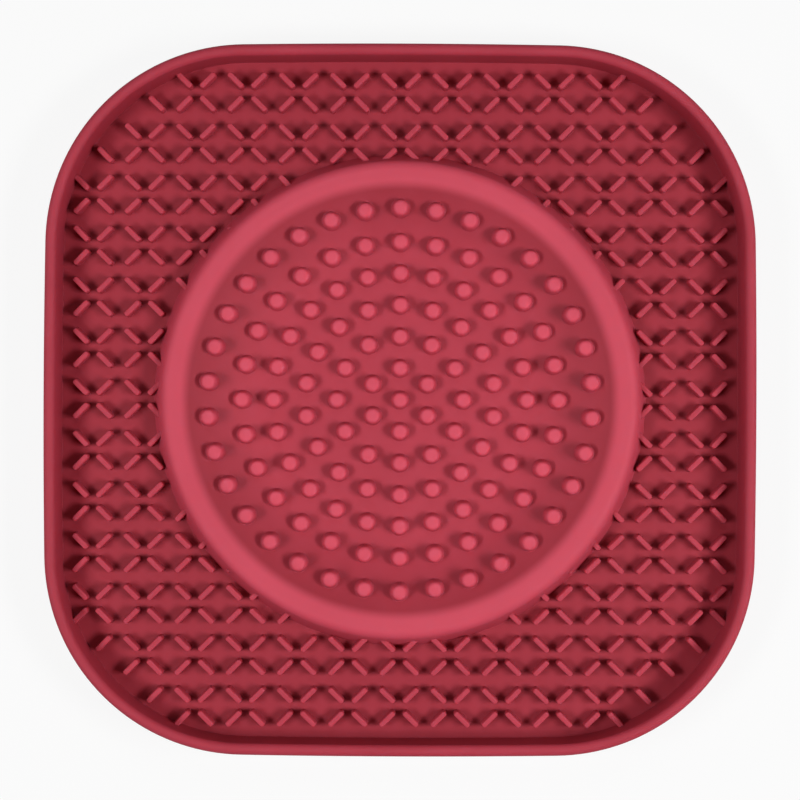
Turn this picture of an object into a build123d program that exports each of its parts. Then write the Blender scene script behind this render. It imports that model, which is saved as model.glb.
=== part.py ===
from build123d import *
import math
import os

# Lick mat: a square silicone tray with a raised rim, a shallow bowl of nubs in its middle and
# slanted ribs on its floor. The real mat is one moulding. Here each moulded feature is a solid
# of its own, and they meet face to face. Lengths are in millimetres and angles in degrees.
# +Z is up, -Y is the front, and the origin lies under the middle of the mat, on the surface
# that it rests on. Small rounds are cut as a few flats each.

# Plan of the mat
mat_side = 254.0  # across the rim, from mid-side to mid-side
corner_radius = 71.4  # outside of the rim at a corner
side_radius = 3570.0  # each side swells outward a little, on this radius

# Rim wall
rim_height = 19.0
lip_width = 4.2  # thickness of the wall, whose top is a full round
lip_flats = 4
wall_lean = 0.5  # the wall leans outward by this angle, so that the mat leaves its mould
wall_cove = 0.8  # leg of the slanted corner between the wall and the floor

# Floor, a plain sheet with a flat back that carries all the rest
floor_thickness = 3.0

# Nubs in the bowl
nub_counts = (6, 12, 18, 24, 28, 34)  # nubs on each circle, from the inside out
nub_circle_step = 11.45  # from one circle to the next
outer_circle_step = 11.95  # from the last of those to the outermost circle
nub_height = 5.0
nub_top_width = 4.8  # across the corners of a nub's top
nub_draft = 11.0  # slope of a nub's sides
nub_sides = 8
nub_clearance = 0.05  # keeps a nub's flat foot clear of the curve of the bowl's side

# Bowl and the ring round it
bowl_margin = 6.2  # plain border outside the outermost circle of nubs
bowl_slope = 22.0  # the bowl's side rises to its edge at this angle
ring_height = 10.3  # crest of the ring above the floor
ring_inner_radius = 15.0  # gentle round from the bowl's side up to the crest
ring_inner_flats = 1
ring_outer_radius = 8.0  # tighter round from the crest down to the outer flank
ring_outer_flats = 3
ring_flank_angle = 66.0  # steepness of the outer flank

# Ribs on the floor, four to a cross
cross_pitch = 18.5  # from cross to cross, both ways
rib_offset = 6.0  # from the middle of a cross to the middle of each of its ribs
rib_length = 7.6
rib_width = 2.3
rib_height = 5.0
rib_draft = 3.0  # slope of a rib's sides
rib_margin = 1.5  # least room between the middle of a rib and the foot of the wall
shortest_stub = 0.12  # a rib that the ring leaves less of than this share is left out


def polar(radius, angle):
    """Point at a distance and an angle from the origin of a section."""
    return Vector(radius * math.cos(math.radians(angle)), radius * math.sin(math.radians(angle)))


def round_points(centre, radius, start, end, flats):
    """Points of an arc that is cut as equal flats, from one angle to the other."""
    return [centre + polar(radius, start + (end - start) * k / flats) for k in range(flats + 1)]


def upright(points):
    """Face through points given as distance and height, set upright in the XZ plane."""
    return Plane.XZ * make_face(Polyline(*points, close=True))


# Rim section, as distance outward from the middle and height
lip_radius = lip_width / 2
lip_centre = Vector(mat_side / 2 - lip_radius, rim_height - lip_radius)
lip_points = round_points(lip_centre, lip_radius, -wall_lean, 180 - wall_lean, lip_flats)
lean = math.tan(math.radians(wall_lean))
outside_foot = Vector(lip_points[0].X - (lip_points[0].Y - floor_thickness) * lean, floor_thickness)
cove_height = floor_thickness + wall_cove
cove_top = Vector(lip_points[-1].X - (lip_points[-1].Y - cove_height) * lean, cove_height)
inside_foot = Vector(cove_top.X - wall_cove, floor_thickness)

# Bowl and ring section, as distance from the middle and height
outer_nub_radius = (len(nub_counts) - 1) * nub_circle_step + outer_circle_step
bowl_radius = outer_nub_radius + bowl_margin
crest_radius = bowl_radius + ring_inner_radius * math.sin(math.radians(bowl_slope))
crest = Vector(crest_radius, floor_thickness + ring_height)
inner_centre = crest - Vector(0, ring_inner_radius)
inner_round = round_points(inner_centre, ring_inner_radius, 90 + bowl_slope, 90, ring_inner_flats)
outer_centre = crest - Vector(0, ring_outer_radius)
outer_round = round_points(outer_centre, ring_outer_radius, 90, 90 - ring_flank_angle, ring_outer_flats)
bowl_edge = inner_round[0]
flank_top = outer_round[-1]
flank_rise = math.tan(math.radians(ring_flank_angle))
ring_foot = Vector(flank_top.X + (flank_top.Y - floor_thickness) / flank_rise, floor_thickness)
bowl_rise = math.tan(math.radians(bowl_slope))
bowl_corner = Vector(bowl_edge.X - (bowl_edge.Y - floor_thickness) / bowl_rise, floor_thickness)
below_edge = Vector(bowl_edge.X, floor_thickness)


def bowl_surface(radius):
    """Height of the bowl's upper face at a distance from the middle."""
    return floor_thickness + max(radius - bowl_corner.X, 0) * bowl_rise


# Plan arcs of the right side and the corner behind it, whose centres lie in line with their joint
side_centre = Vector(mat_side / 2 - side_radius, 0)
to_corner = side_radius - corner_radius
corner_spot = (math.sqrt(2 * to_corner**2 - side_centre.X**2) + side_centre.X) / 2
corner_centre = Vector(corner_spot, corner_spot)
corner_start = math.degrees(math.atan2(corner_spot, corner_spot - side_centre.X))
corner_sweep = 90 - 2 * corner_start


def outline(inset):
    """Closed plan outline of the mat, a constant distance inside its widest line."""
    side = CenterArc(side_centre, side_radius - inset, -corner_start, 2 * corner_start)
    corner = CenterArc(corner_centre, corner_radius - inset, corner_start, corner_sweep)
    return Wire([Rot(0, 0, turn) * arc for turn in (0, 90, 180, 270) for arc in (side, corner)])


def make_tray_floor():
    """Plain sheet under the whole mat."""
    return extrude(make_face(outline(mat_side / 2 - outside_foot.X)), floor_thickness)


def make_rim(centre, radius, start, angle):
    """Stretch of the leaning wall with its rounded lip, carried round one arc of the plan."""
    section = upright([outside_foot, *lip_points, cove_top, inside_foot])
    placed = Pos(*centre) * Rot(0, 0, start) * Pos(radius - mat_side / 2) * section
    return revolve(placed, Axis(centre, (0, 0, 1)), angle)


def make_bowl_side():
    """Slope from the flat middle of the bowl up to its edge."""
    return revolve(upright([bowl_corner, bowl_edge, below_edge]), Axis.Z)


def make_bowl_ring():
    """Ridge round the bowl, rolled over to a steep outer flank."""
    return revolve(upright([below_edge, *inner_round, *outer_round[1:], ring_foot]), Axis.Z)


def make_nub(radius, floor, side):
    """One upright nub at a distance behind the middle, with a flat foot that lies along the bowl."""
    seat = bowl_surface(radius)
    height = seat + nub_height
    spread = height * math.tan(math.radians(nub_draft)) / math.cos(math.pi / nub_sides)
    base = Pos(0, radius) * RegularPolygon(nub_top_width / 2 + spread, nub_sides)
    peg = extrude(base, height, taper=nub_draft)
    if radius > bowl_corner.X:
        foot = Plane((0, radius, seat + nub_clearance), x_dir=(1, 0, 0), z_dir=(0, -bowl_rise, 1))
        peg = split(peg, foot, keep=Keep.TOP)
    return max((peg - floor - side).solids(), key=lambda piece: piece.center().Z)


def make_rib_rows():
    """Rows of crosses from front to back, each a list of ribs trimmed to the free floor."""
    bar = extrude(Rectangle(rib_length, rib_width), rib_height, taper=rib_draft)
    rib = Pos(0, 0, floor_thickness) * bar
    core_section = [Vector(0, floor_thickness), ring_foot, *outer_round[::-1], Vector(0, crest.Y)]
    core = revolve(upright(core_section), Axis.Z)
    foot_inset = mat_side / 2 - inside_foot.X
    free_space = extrude(make_face(outline(foot_inset)), rim_height)
    rib_area = make_face(outline(foot_inset + rib_margin))
    reach = math.hypot(rib_length, rib_width) / 2
    most = int(inside_foot.X / cross_pitch)
    spots = range(-most, most + 1)
    rows = []
    for row in spots:
        ribs = []
        for column in spots:
            for turn in (45, 135, 225, 315):
                middle = Vector(column * cross_pitch, row * cross_pitch) + polar(rib_offset, turn)
                if middle.length < crest_radius or not rib_area.is_inside(middle):
                    continue
                piece = Pos(*middle) * Rot(0, 0, turn) * rib
                if middle.length < ring_foot.X + reach:
                    piece = piece - core
                else:
                    piece = piece & free_space
                ribs += [solid for solid in piece.solids() if solid.volume > shortest_stub * rib.volume]
        rows.append(ribs)
    return rows


def main():
    floor = make_tray_floor()
    side = make_bowl_side()
    rim_side = make_rim(side_centre, side_radius, -corner_start, 2 * corner_start)
    rim_corner = make_rim(corner_centre, corner_radius, corner_start, corner_sweep)
    nodes = {
        "tray_floor": [floor],
        "rim_wall": [Rot(0, 0, turn) * rim_side for turn in (0, 90, 180, 270)],
        "rim_corners": [Rot(0, 0, turn) * rim_corner for turn in (0, 90, 180, 270)],
        "bowl_side": [side],
        "bowl_ring": [make_bowl_ring()],
        "centre_nub": [make_nub(0, floor, side)],
    }
    radii = [nub_circle_step * place for place in range(1, len(nub_counts))] + [outer_nub_radius]
    for place, (count, radius) in enumerate(zip(nub_counts, radii), start=1):
        nub = make_nub(radius, floor, side)
        nodes[f"nub_circle_{place}"] = [Rot(0, 0, 360 * k / count) * nub for k in range(count)]
    for place, ribs in enumerate(make_rib_rows(), start=1):
        nodes[f"rib_row_{place:02d}"] = ribs
    os.makedirs("parts", exist_ok=True)
    for name, shapes in nodes.items():
        solids = [solid for shape in shapes for solid in shape.solids()]
        export_step(solids[0] if len(solids) == 1 else Compound(children=solids), f"parts/{name}.step")


main()
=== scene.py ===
import math

import bmesh
import bpy
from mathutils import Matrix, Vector


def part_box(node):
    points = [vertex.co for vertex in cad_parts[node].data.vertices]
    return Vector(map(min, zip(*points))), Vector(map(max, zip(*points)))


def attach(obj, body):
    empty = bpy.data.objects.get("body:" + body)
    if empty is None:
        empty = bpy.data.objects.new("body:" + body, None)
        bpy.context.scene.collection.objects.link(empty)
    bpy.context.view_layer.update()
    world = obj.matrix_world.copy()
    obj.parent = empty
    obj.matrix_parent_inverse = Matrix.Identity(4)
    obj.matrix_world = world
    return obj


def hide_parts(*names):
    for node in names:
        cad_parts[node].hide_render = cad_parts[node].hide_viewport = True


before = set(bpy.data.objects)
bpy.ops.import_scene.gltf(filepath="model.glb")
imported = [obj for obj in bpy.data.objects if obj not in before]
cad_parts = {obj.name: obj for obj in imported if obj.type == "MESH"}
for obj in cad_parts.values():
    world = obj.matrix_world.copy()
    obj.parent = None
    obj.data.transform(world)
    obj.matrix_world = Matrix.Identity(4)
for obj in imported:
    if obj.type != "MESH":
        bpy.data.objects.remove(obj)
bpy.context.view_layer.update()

# Lick mat seen from straight above. The CAD solids give the places, and the pieces here give
# each moulded feature its soft rounds. A section is drawn as corners with a radius each.
# Lengths are in metres and angles in degrees.

mm = 0.001

# Places taken from the frame
floor_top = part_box("tray_floor")[1].z
sheet_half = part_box("tray_floor")[1].x
rim_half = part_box("rim_wall")[1].x
rim_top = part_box("rim_wall")[1].z
bowl_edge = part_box("bowl_side")[1].x
bowl_edge_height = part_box("bowl_side")[1].z
crest_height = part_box("bowl_ring")[1].z
cad_ring_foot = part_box("bowl_ring")[1].x

# Plan of the mat
corner_radius = 71.4 * mm
side_radius = 3570 * mm
corner_steps = 40
side_steps = 16

# Rim
lip_width = 4.2 * mm
wall_lean = 0.5
wall_fillet = 0.3 * mm
sheet_edge_round = 0.8 * mm
rim_round_steps = 10

# Bowl and ring
bowl_slope = 22.0
bowl_bend_radius = 35 * mm
ring_inner_radius = 15 * mm
ring_outer_radius = 4.0 * mm
ring_flank_angle = 70.0
ring_flank_inset = 1.8 * mm  # how far the flank's foot stands inside that of the CAD ring
ring_foot_fillet = 0.3 * mm
bowl_steps = 192
bowl_round_steps = 12

# Nubs
nub_counts = (6, 12, 18, 24, 28, 34)
nub_top_radius = 2.55 * mm
nub_base_radius = 3.4 * mm
nub_round = 1.3 * mm
nub_fillet = 0.5 * mm
nub_height = 5.0 * mm
nub_cap_radius = 0.4 * mm  # of the face that closes a nub's top
nub_steps = 20

# Ribs
cross_pitch = 18.5 * mm
rib_offset = 6.0 * mm
rib_length = 7.4 * mm
rib_width = 2.25 * mm
rib_height = 5.0 * mm
rib_end_radius = 0.95 * mm
rib_round = 0.5 * mm
rib_fillet = 0.3 * mm
rib_draft = 0.15 * mm  # how much further in a rib's sides stand at its top
rib_corner_steps = 4
rib_round_steps = 4
rib_search = 4.0 * mm  # a rib stands where its CAD row has a point this near to its middle

# How far the edge of a piece is sunk into what carries it, and how far down below that face its
# foot goes on, so that light can scatter below the edge
sink = 0.04 * mm
foot_depth = 2 * mm

# Flats that a round is drawn with where no other count is given
round_steps = 6

# Edges that turn by more than this stay sharp
sharp_angle = 50.0

# Painted shade and painted light in the colour of the silicone. The deep red stands in for shade on the
# floor of the tray and in recesses, and the paler red stands in for light on what stands proudest. A painted
# light value from 0 to 1 says how far from the one to the other the colour of a place lies.
shade_painted_red = (0.36, 0.022, 0.042, 1)
light_painted_red = (0.70, 0.080, 0.130, 1)
bowl_floor_painted_light = 0.31
bowl_border_painted_light = 0.0
ring_crest_painted_light = 0.82
ring_foot_painted_light = 0.3
lip_painted_light = 0.27
rib_top_painted_light = 0.44
border_inset = 0.5 * mm  # from the bowl's edge in to where the painted shade of its border is deepest and starts to turn
border_width = 4.5 * mm  # in which it turns to the painted light of the ring

# Surface of the silicone
refraction = 1.41
scatter_share = 0.35
scatter_reach = (1.0, 0.25, 0.2)  # of red, green and blue light below the surface
scatter_depth = 2 * mm
cloud_scale = 45
cloud_detail = 3
cloud_drift = 0.12
grain_scale = 2400
grain_detail = 2
grain_strength = 0.12
grain_depth = 0.05 * mm
least_roughness = 0.64
most_roughness = 0.76

# Camera, floor and light
camera_height = 750 * mm
camera_roll = 0.2
picture_width = 284.2 * mm  # width of the picture at the height of the rim
ambient = 0.015
floor_grey = (0.7, 0.7, 0.7, 1)
floor_roughness = 0.9
floor_half_size = 4.0
floor_glow = 0.88  # share of the floor's white that does not depend on the light
lamp_distance = 1.0
lamps = {
    "right_lamp": {"azimuth": -13, "elevation": 47, "width": 0.45, "height": 0.23, "level": 0.49},
    "left_lamp": {"azimuth": 193, "elevation": 52, "width": 0.45, "height": 0.23, "level": 0.40},
    "back_lamp": {"azimuth": 90, "elevation": 55, "width": 0.60, "height": 0.30, "level": 0.08},
}


def rounded(corners, steps=round_steps):
    """Points of a section through corners given as x, y and the radius that rounds the corner."""
    points = []
    for place, (x, y, radius) in enumerate(corners):
        here = Vector((x, y))
        if radius == 0:
            points.append(here)
            continue
        back = (Vector(corners[place - 1][:2]) - here).normalized()
        ahead = (Vector(corners[place + 1][:2]) - here).normalized()
        half_angle = back.angle(ahead) / 2
        centre = here + (back + ahead).normalized() * (radius / math.sin(half_angle))
        start = here + back * (radius / math.tan(half_angle)) - centre
        end = here + ahead * (radius / math.tan(half_angle)) - centre
        sweep = start.angle_signed(end)
        for step in range(steps + 1):
            turn = -sweep * step / steps
            cosine, sine = math.cos(turn), math.sin(turn)
            arm = Vector((start.x * cosine - start.y * sine, start.x * sine + start.y * cosine))
            points.append(centre + arm)
    # Where two points fall in one place, the second is left out
    pairs = zip(points, points[1:])
    return [points[0]] + [after for before, after in pairs if (after - before).length > sink / 2]


def add_rings(mesh, rings, caps=False, closed=False):
    """Closed rings of points, joined by quads from each ring to the next."""
    made = [[mesh.verts.new(point) for point in ring] for ring in rings]
    pairs = list(zip(made, made[1:]))
    if closed:
        pairs.append((made[-1], made[0]))
    for lower, upper in pairs:
        for k in range(len(lower)):
            after = (k + 1) % len(lower)
            mesh.faces.new((lower[k], lower[after], upper[after], upper[k]))
    if caps:
        mesh.faces.new(made[0][::-1])
        mesh.faces.new(made[-1])


def make_piece(name, mesh, material, painted_light, *nodes):
    """A smooth piece of the mat that stands for CAD nodes, coloured by the painted light value of each
    point, which paints shade low down and light on raised parts.
    """
    bmesh.ops.recalc_face_normals(mesh, faces=mesh.faces)
    data = bpy.data.meshes.new(name)
    mesh.to_mesh(data)
    mesh.free()
    data.shade_smooth()
    data.set_sharp_from_angle(angle=math.radians(sharp_angle))
    data.materials.append(material)
    attribute = data.attributes.new("painted_light", "FLOAT", "POINT")
    attribute.data.foreach_set("value", [painted_light(vertex.co) for vertex in data.vertices])
    piece = bpy.data.objects.new(name, data)
    bpy.context.scene.collection.objects.link(piece)
    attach(piece, "root")
    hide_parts(*nodes)


def smooth_step(value, low, high):
    """Rises smoothly from 0 at low to 1 at high."""
    share = min(max((value - low) / (high - low), 0), 1)
    return share * share * (3 - 2 * share)


def outline(inset):
    """Plan points of the mat, a constant distance inside its widest line."""
    side_centre = side_radius - rim_half
    to_corner = side_radius - corner_radius
    corner_centre = (math.sqrt(2 * to_corner**2 - side_centre**2) - side_centre) / 2
    corner_start = math.atan2(corner_centre, corner_centre + side_centre)
    quarter = []
    for step in range(side_steps):
        angle = corner_start * (2 * step / side_steps - 1)
        reach = side_radius - inset
        quarter.append((reach * math.cos(angle) - side_centre, reach * math.sin(angle)))
    for step in range(corner_steps):
        angle = corner_start + (math.pi / 2 - 2 * corner_start) * step / corner_steps
        reach = corner_radius - inset
        quarter.append((corner_centre + reach * math.cos(angle), corner_centre + reach * math.sin(angle)))
    turns = ((1, 0), (0, 1), (-1, 0), (0, -1))
    return [(x * cosine - y * sine, x * sine + y * cosine) for cosine, sine in turns for x, y in quarter]


def round_the_mat(section):
    """Rings that follow the plan, for a section given as distance inward and height."""
    return [[(x, y, height) for x, y in outline(inset)] for inset, height in section]


def round_the_bowl(section):
    """Rings about the middle of the mat, for a section given as radius and height."""
    turns = [math.tau * step / bowl_steps for step in range(bowl_steps)]
    around = [(math.cos(turn), math.sin(turn)) for turn in turns]
    return [[(radius * x, radius * y, height) for x, y in around] for radius, height in section]


# Section of the bowl and the ring
bowl_rise = math.tan(math.radians(bowl_slope))
bowl_corner = bowl_edge - (bowl_edge_height - floor_top) / bowl_rise
ring_foot = cad_ring_foot - ring_flank_inset
flank_rise = math.tan(math.radians(ring_flank_angle))


def bowl_corners():
    """Corners of the bowl and the ring, as radius, height and rounding."""
    inner_top = bowl_corner + (crest_height - floor_top) / bowl_rise
    outer_top = ring_foot - (crest_height - floor_top) / flank_rise
    return [
        (bowl_corner - bowl_bend_radius / 2, floor_top - foot_depth, 0),
        (bowl_corner - bowl_bend_radius / 2, floor_top - sink, 0),
        (bowl_corner, floor_top, bowl_bend_radius),
        (inner_top, crest_height, ring_inner_radius),
        (outer_top, crest_height, ring_outer_radius),
        (ring_foot, floor_top, ring_foot_fillet),
        (ring_foot + 2 * ring_foot_fillet, floor_top - sink, 0),
        (ring_foot + 2 * ring_foot_fillet, floor_top - foot_depth, 0),
    ]


bowl_section = rounded(bowl_corners(), steps=bowl_round_steps)
crest = max(bowl_section, key=lambda point: point.y).x
border_radius = bowl_edge - border_inset


def silicone():
    """Satin red silicone with painted shade and painted light: a deeper red low down in the recesses and a
    paler red on raised parts, with a fine matt grain and a faint unevenness of tone.
    """
    material = bpy.data.materials.new("red_silicone")
    material.use_nodes = True
    nodes, links = material.node_tree.nodes, material.node_tree.links
    shader = nodes["Principled BSDF"]
    shader.inputs["IOR"].default_value = refraction
    shader.inputs["Subsurface Weight"].default_value = scatter_share
    shader.inputs["Subsurface Radius"].default_value = scatter_reach
    shader.inputs["Subsurface Scale"].default_value = scatter_depth
    place = nodes.new("ShaderNodeTexCoord")

    cloud = nodes.new("ShaderNodeTexNoise")
    cloud.inputs["Scale"].default_value = cloud_scale
    cloud.inputs["Detail"].default_value = cloud_detail
    links.new(place.outputs["Object"], cloud.inputs["Vector"])
    drift = nodes.new("ShaderNodeMapRange")
    drift.inputs["To Min"].default_value = -cloud_drift
    drift.inputs["To Max"].default_value = cloud_drift
    links.new(cloud.outputs["Fac"], drift.inputs["Value"])
    # Painted shade and painted light: the painted light value of each point, with the faint unevenness of
    # tone added, picks the colour between the shaded red and the lit red.
    painted_light = nodes.new("ShaderNodeAttribute")
    painted_light.attribute_name = "painted_light"
    painted_light_and_cloud = nodes.new("ShaderNodeMath")
    painted_light_and_cloud.operation = "ADD"
    links.new(painted_light.outputs["Fac"], painted_light_and_cloud.inputs[0])
    links.new(drift.outputs["Result"], painted_light_and_cloud.inputs[1])
    tint = nodes.new("ShaderNodeValToRGB")
    tint.color_ramp.elements[0].color = shade_painted_red
    tint.color_ramp.elements[1].color = light_painted_red
    links.new(painted_light_and_cloud.outputs["Value"], tint.inputs["Fac"])
    links.new(tint.outputs["Color"], shader.inputs["Base Color"])

    grain = nodes.new("ShaderNodeTexNoise")
    grain.inputs["Scale"].default_value = grain_scale
    grain.inputs["Detail"].default_value = grain_detail
    links.new(place.outputs["Object"], grain.inputs["Vector"])
    matt = nodes.new("ShaderNodeMapRange")
    matt.inputs["To Min"].default_value = least_roughness
    matt.inputs["To Max"].default_value = most_roughness
    links.new(grain.outputs["Fac"], matt.inputs["Value"])
    links.new(matt.outputs["Result"], shader.inputs["Roughness"])
    bump = nodes.new("ShaderNodeBump")
    bump.inputs["Strength"].default_value = grain_strength
    bump.inputs["Distance"].default_value = grain_depth
    links.new(grain.outputs["Fac"], bump.inputs["Height"])
    links.new(bump.outputs["Normal"], shader.inputs["Normal"])
    return material


def make_sheet(material):
    """Floor of the tray, with a softly rounded lower edge."""
    edge = rim_half - sheet_half
    section = rounded([
        (edge + 2 * sheet_edge_round, 0, 0),
        (edge, 0, sheet_edge_round),
        (edge, floor_top, 0),
    ])
    rings = round_the_mat(section)
    # Between these two rings, under the bowl's side, the painted shade of the tray floor turns to the
    # lighter painted value of the bowl's floor
    for radius in (crest, bowl_corner):
        around = [Vector(point[:2]).normalized() * radius for point in rings[-1]]
        rings.append([(x, y, floor_top) for x, y in around])
    mesh = bmesh.new()
    add_rings(mesh, rings, caps=True)
    make_piece("floor_sheet", mesh, material, sheet_painted_light, "tray_floor")


def sheet_painted_light(point):
    """Painted light value: that of the bowl's floor in the middle, and none, the deepest painted shade,
    outside the bowl and below.
    """
    in_the_bowl = point.z > floor_top / 2 and point.to_2d().length < bowl_edge
    return bowl_floor_painted_light if in_the_bowl else 0


def make_rim(material):
    """Leaning wall with a full-round lip and a fillet at its inner foot."""
    lean = math.tan(math.radians(wall_lean))
    inside = lip_width + (rim_top - floor_top) * lean
    edge = rim_half - sheet_half
    section = rounded([
        (edge + lip_width / 2, floor_top - foot_depth, 0),
        (edge, floor_top - sink, 0),
        (0, rim_top, lip_width / 2),
        (lip_width, rim_top, lip_width / 2),
        (inside, floor_top, wall_fillet),
        (inside + 2 * wall_fillet, floor_top - sink, 0),
        (inside + 2 * wall_fillet, floor_top - foot_depth, 0),
    ], steps=rim_round_steps)
    mesh = bmesh.new()
    add_rings(mesh, round_the_mat(section), closed=True)
    make_piece("rim", mesh, material, rim_painted_light, "rim_wall", "rim_corners")


def rim_painted_light(point):
    """Painted light value: none, the deepest painted shade, at the foot of the wall, rising to the painted
    light of the lip.
    """
    return lip_painted_light * (point.z - floor_top) / (rim_top - floor_top)


def bowl_painted_light(point):
    """Painted light value: most at the crest of the ring, painted shade towards its foot and the deepest
    painted shade at the bowl's border.
    """
    radius = point.to_2d().length
    if radius > crest:
        share = (point.z - floor_top) / (crest_height - floor_top)
        return ring_foot_painted_light + (ring_crest_painted_light - ring_foot_painted_light) * share
    fall = (bowl_floor_painted_light - bowl_border_painted_light) * smooth_step(radius, bowl_corner, border_radius)
    painted_light = bowl_floor_painted_light - fall
    return painted_light + (ring_crest_painted_light - painted_light) * smooth_step(radius, border_radius, border_radius + border_width)


def make_bowl(material):
    """Side of the bowl, rising from the flat middle to the rolled ring."""
    mesh = bmesh.new()
    add_rings(mesh, round_the_bowl(bowl_section), closed=True)
    make_piece("bowl", mesh, material, bowl_painted_light, "bowl_side", "bowl_ring")


def bowl_surface(radius):
    """Height of the bowl's upper face at a distance from the middle."""
    for inner, outer in zip(bowl_section, bowl_section[1:]):
        if inner.x < radius <= outer.x:
            return inner.y + (outer.y - inner.y) * (radius - inner.x) / (outer.x - inner.x)
    return floor_top


def add_nub(mesh, x, y):
    """One domed nub, whose foot follows the slope of the bowl while its top stays level."""
    section = rounded([
        (nub_cap_radius, nub_height, 0),
        (nub_top_radius, nub_height, nub_round),
        (nub_base_radius, 0, nub_fillet),
        (nub_base_radius + 2 * nub_fillet, -2 * sink, 0),
        (nub_base_radius + 2 * nub_fillet, -foot_depth, 0),
    ])
    seat = bowl_surface(math.hypot(x, y))
    rings = []
    for radius, height in section:
        ring = []
        follow = 1 - height / nub_height
        for step in range(nub_steps):
            angle = math.tau * step / nub_steps
            spot_x, spot_y = x + radius * math.cos(angle), y + radius * math.sin(angle)
            ground = bowl_surface(math.hypot(spot_x, spot_y))
            ring.append((spot_x, spot_y, seat + (ground - seat) * follow + height))
        rings.append(ring)
    add_rings(mesh, rings, caps=True)


def nub_painted_light(point):
    """Painted light value: that of the bowl's floor at the foot of a nub, rising to full painted light at
    its top.
    """
    share = (point.z - bowl_surface(point.to_2d().length)) / nub_height
    return bowl_floor_painted_light + (1 - bowl_floor_painted_light) * share


def circle_radius(place):
    """Distance of a circle of nubs from the middle, from the nub at the back of its CAD node."""
    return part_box(f"nub_circle_{place}")[1].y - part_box("centre_nub")[1].y


def make_nubs(material):
    """The nub in the middle and the circles of nubs round it."""
    mesh = bmesh.new()
    add_nub(mesh, 0, 0)
    make_piece("middle_nub", mesh, material, nub_painted_light, "centre_nub")
    for place, count in enumerate(nub_counts, start=1):
        mesh = bmesh.new()
        radius = circle_radius(place)
        for k in range(count):
            angle = math.pi / 2 + math.tau * k / count
            add_nub(mesh, radius * math.cos(angle), radius * math.sin(angle))
        make_piece(f"nubs_{place}", mesh, material, nub_painted_light, f"nub_circle_{place}")


def add_rib(mesh, middle, turn):
    """One rib with rounded ends, a rounded top and a fillet at its foot."""
    half_length, half_width = rib_length / 2, rib_width / 2
    section = rounded([
        (2 * rib_fillet, -foot_depth, 0),
        (2 * rib_fillet, -sink, 0),
        (0, 0, rib_fillet),
        (-rib_draft, rib_height, rib_round),
        (sink - half_width, rib_height, 0),
    ], steps=rib_round_steps)
    along = Vector((math.cos(turn), math.sin(turn)))
    across = Vector((-along.y, along.x))
    rings = []
    for grow, height in section:
        radius = max(rib_end_radius + grow, sink)
        reach_x, reach_y = half_length + grow - radius, half_width + grow - radius
        ring = []
        for corner, (sign_x, sign_y) in enumerate(((1, 1), (-1, 1), (-1, -1), (1, -1))):
            for step in range(rib_corner_steps):
                angle = math.pi / 2 * (corner + step / (rib_corner_steps - 1))
                forward = sign_x * reach_x + radius * math.cos(angle)
                sideways = sign_y * reach_y + radius * math.sin(angle)
                spot = middle + along * forward + across * sideways
                ring.append((spot.x, spot.y, floor_top + height))
        rings.append(ring)
    add_rings(mesh, rings, caps=True)


def rib_painted_light(point):
    """Painted light value: the share of a rib's height, up to the painted light of its top."""
    return rib_top_painted_light * (point.z - floor_top) / rib_height


def comes_out(middle, turn):
    """Whether a rib that stands in the ring has an end that comes out of its flank."""
    half = Vector((math.cos(turn), math.sin(turn))) * rib_length / 2
    reach = max((middle + half).length, (middle - half).length)
    return middle.length < cad_ring_foot and reach > ring_foot - rib_height / flank_rise


def make_ribs(material):
    """Rows of crosses, with a rib wherever the CAD row has one or the ring leaves a short stub."""
    names = sorted(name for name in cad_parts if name.startswith("rib_row_"))
    middle_row = (len(names) - 1) // 2
    for row, name in enumerate(names):
        found = [vertex.co.to_2d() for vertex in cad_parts[name].data.vertices]
        mesh = bmesh.new()
        for column in range(len(names)):
            centre = Vector((column - middle_row, row - middle_row)) * cross_pitch
            for quarter in range(4):
                turn = math.pi / 4 + quarter * math.pi / 2
                middle = centre + rib_offset * Vector((math.cos(turn), math.sin(turn)))
                in_cad = any((point - middle).length < rib_search for point in found)
                if in_cad or comes_out(middle, turn):
                    add_rib(mesh, middle, turn)
        make_piece(f"ribs_{row + 1:02d}", mesh, material, rib_painted_light, name)


def make_camera():
    """Camera straight above the middle of the mat, with the back of the mat at the top."""
    data = bpy.data.cameras.new("camera")
    data.lens = data.sensor_width * (camera_height - rim_top) / picture_width
    camera = bpy.data.objects.new("camera", data)
    camera.location = (0, 0, camera_height)
    camera.rotation_euler = (0, 0, math.radians(camera_roll))
    bpy.context.scene.collection.objects.link(camera)
    bpy.context.scene.camera = camera


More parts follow.
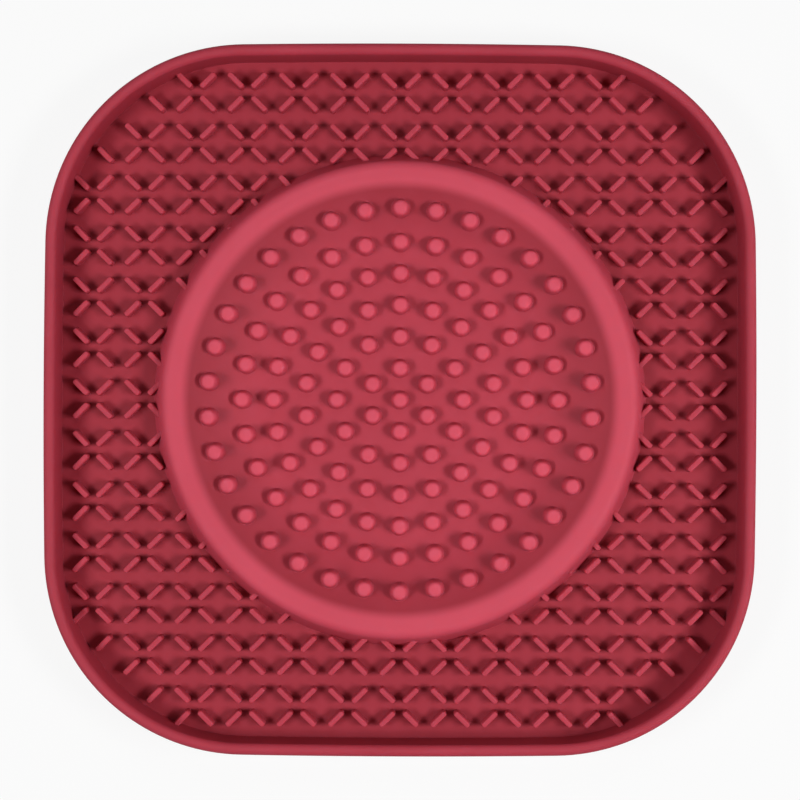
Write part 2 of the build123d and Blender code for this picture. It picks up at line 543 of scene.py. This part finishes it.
def make_lamps():
    """Soft lamps, each with the level that it adds to a white level surface."""
    for name, lamp in lamps.items():
        azimuth, elevation = math.radians(lamp["azimuth"]), math.radians(lamp["elevation"])
        toward = Vector((
            math.cos(elevation) * math.cos(azimuth),
            math.cos(elevation) * math.sin(azimuth),
            math.sin(elevation),
        ))
        data = bpy.data.lights.new(name, "AREA")
        data.shape = "RECTANGLE"
        data.size = lamp["width"]
        data.size_y = lamp["height"]
        data.energy = lamp["level"] * (math.pi * lamp_distance) ** 2 / math.sin(elevation)
        light = bpy.data.objects.new(name, data)
        light.location = toward * lamp_distance
        light.rotation_mode = "QUATERNION"
        light.rotation_quaternion = toward.to_track_quat("Z", "Y")
        bpy.context.scene.collection.objects.link(light)


def make_world():
    """Even white surroundings, plain white where the camera sees them."""
    world = bpy.data.worlds.new("studio")
    world.use_nodes = True
    nodes, links = world.node_tree.nodes, world.node_tree.links
    background = nodes["Background"]
    background.inputs["Color"].default_value = (1, 1, 1, 1)
    path = nodes.new("ShaderNodeLightPath")
    level = nodes.new("ShaderNodeMapRange")
    level.inputs["To Min"].default_value = ambient
    level.inputs["To Max"].default_value = 1
    links.new(path.outputs["Is Camera Ray"], level.inputs["Value"])
    links.new(level.outputs["Result"], background.inputs["Strength"])
    bpy.context.scene.world = world


def make_floor():
    """Wide white floor that keeps a light shadow of the mat."""
    material = bpy.data.materials.new("studio_floor")
    material.use_nodes = True
    nodes, links = material.node_tree.nodes, material.node_tree.links
    shader = nodes["Principled BSDF"]
    shader.inputs["Base Color"].default_value = floor_grey
    shader.inputs["Roughness"].default_value = floor_roughness
    glow = nodes.new("ShaderNodeEmission")
    mix = nodes.new("ShaderNodeMixShader")
    path = nodes.new("ShaderNodeLightPath")
    share = nodes.new("ShaderNodeMath")
    share.operation = "MULTIPLY"
    share.inputs[1].default_value = floor_glow
    links.new(path.outputs["Is Camera Ray"], share.inputs[0])
    links.new(share.outputs["Value"], mix.inputs["Fac"])
    links.new(shader.outputs["BSDF"], mix.inputs[1])
    links.new(glow.outputs["Emission"], mix.inputs[2])
    links.new(mix.outputs["Shader"], nodes["Material Output"].inputs["Surface"])
    mesh = bmesh.new()
    bmesh.ops.create_grid(mesh, x_segments=1, y_segments=1, size=floor_half_size)
    data = bpy.data.meshes.new("studio_floor")
    mesh.to_mesh(data)
    mesh.free()
    data.materials.append(material)
    floor = bpy.data.objects.new("studio_floor", data)
    bpy.context.scene.collection.objects.link(floor)


red = silicone()
make_sheet(red)
make_rim(red)
make_bowl(red)
make_nubs(red)
make_ribs(red)
make_camera()
make_lamps()
make_world()
make_floor()
bpy.context.scene.view_settings.view_transform = "Standard"
